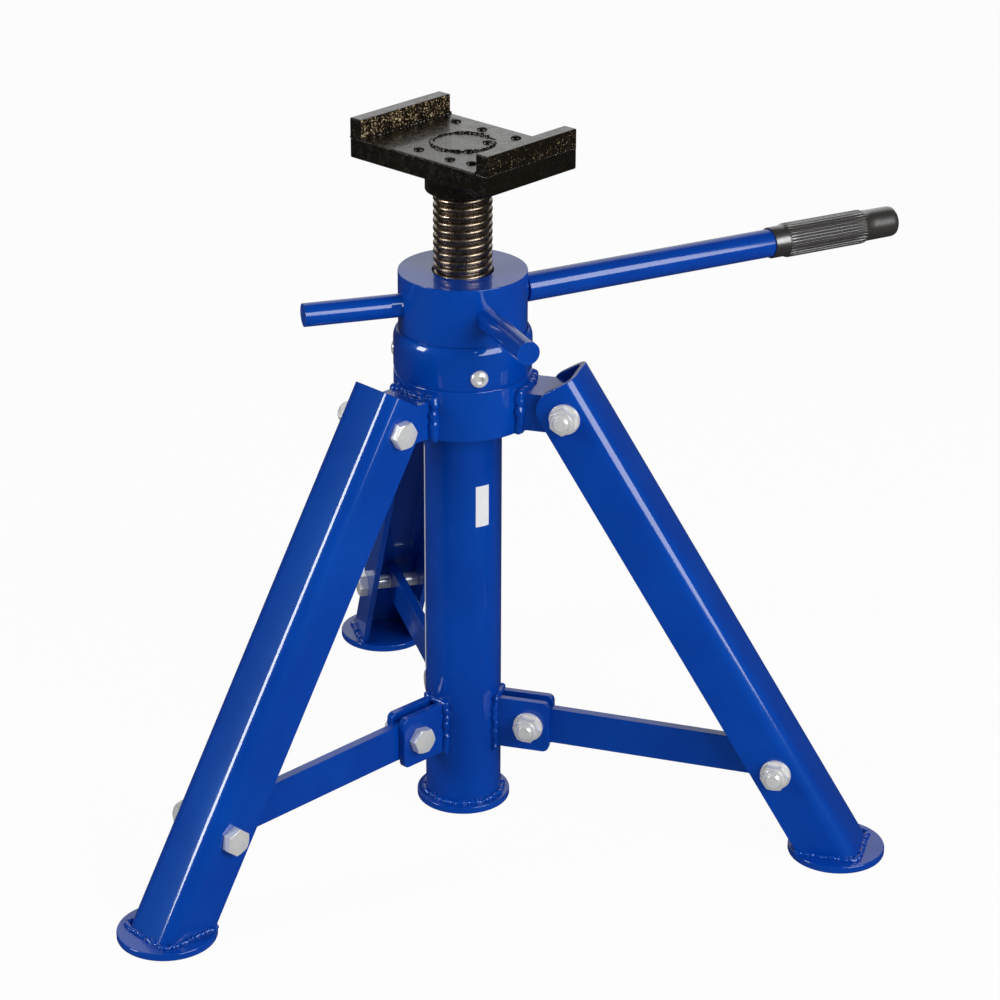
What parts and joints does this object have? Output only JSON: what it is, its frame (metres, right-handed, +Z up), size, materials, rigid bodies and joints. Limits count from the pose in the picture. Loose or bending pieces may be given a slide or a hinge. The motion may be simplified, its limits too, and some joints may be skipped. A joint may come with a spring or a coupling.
{
  "type": "jack stand",
  "caption": "Tripod jack stand: braced channel legs on round feet, and a lift nut with handle and stubs on a thrust bearing that raises a screw with a flat saddle.",
  "frame": {"origin": "on the floor, on the axis of the column", "axes": "+Z up along the column; +Y towards the rear leg; the other two legs stand at -150 and -30 degrees from +X"},
  "size_m": [0.6873, 0.5357, 0.569],
  "materials": {
    "blue_paint": "glossy royal blue paint over steel",
    "zinc_plated": "bright zinc plating",
    "saddle_paint": "gritty black paint over steel",
    "black_steel": "dark oiled steel",
    "bearing_steel": "ground steel",
    "grip_rubber": "moulded dark grey rubber"
  },
  "bodies": {
    "stand": {"base_plate": "blue_paint", "column_tube": "blue_paint", "bearing_collar": "blue_paint", "guide_strip": "bearing_steel", "foot_plate_left": "blue_paint", "foot_plate_right": "blue_paint", "foot_plate_rear": "blue_paint", "leg_left": "blue_paint", "leg_right": "blue_paint", "leg_rear": "blue_paint", "pivot_lug_left": "blue_paint", "pivot_lug_right": "blue_paint", "pivot_lug_rear": "blue_paint", "brace_ears_left": "blue_paint", "brace_ears_right": "blue_paint", "brace_ears_rear": "blue_paint", "brace_left": "blue_paint", "brace_right": "blue_paint", "brace_rear": "blue_paint", "leg_bolts": "zinc_plated", "ear_bolts": "zinc_plated", "hex_nuts": "zinc_plated", "flat_washers": "zinc_plated", "lower_race": "bearing_steel", "retaining_ring": "blue_paint", "ring_screws": "zinc_plated"},
    "nut_hub": {"lift_nut": "blue_paint", "upper_race": "bearing_steel", "handle_stub": "blue_paint", "left_stub": "blue_paint", "front_stub": "blue_paint"},
    "roller_row": {"roller_cage": "bearing_steel", "bearing_rollers": "bearing_steel"},
    "screw_head": {"lift_screw": "black_steel", "saddle_collar": "saddle_paint", "saddle_plate": "saddle_paint", "saddle_bar_left": "saddle_paint", "saddle_bar_right": "saddle_paint", "stop_plate": "black_steel", "stop_washer": "zinc_plated", "stop_bolt": "zinc_plated"},
    "handle": {"handle_tube": "blue_paint", "handle_grip": "grip_rubber"}
  },
  "joints": [
    {"name": "nut_turn", "type": "hinge", "parent": "stand", "child": "nut_hub", "pos_m": [0, 0, 0.378], "axis": [0, 0, 1], "range_deg": [-14400, 3780]},
    {"name": "cage_turn", "type": "hinge", "parent": "stand", "child": "roller_row", "pos_m": [0, 0, 0.3695], "axis": [0, 0, 1], "range_deg": [-7201, 1891]},
    {"name": "screw_lift", "type": "slide", "parent": "stand", "child": "screw_head", "axis": [0, 0, 1], "range_m": [-0.06305, 0.24005]},
    {"name": "handle_slide", "type": "slide", "parent": "nut_hub", "child": "handle", "axis": [0.9694, 0.2453, 0], "range_m": [0, 0.075]}
  ],
  "couplings": [
    {"joint": "screw_lift", "follows": "nut_turn", "m_per_rad": -0.00095493},
    {"joint": "cage_turn", "follows": "nut_turn", "ratio": 0.5}
  ]
}
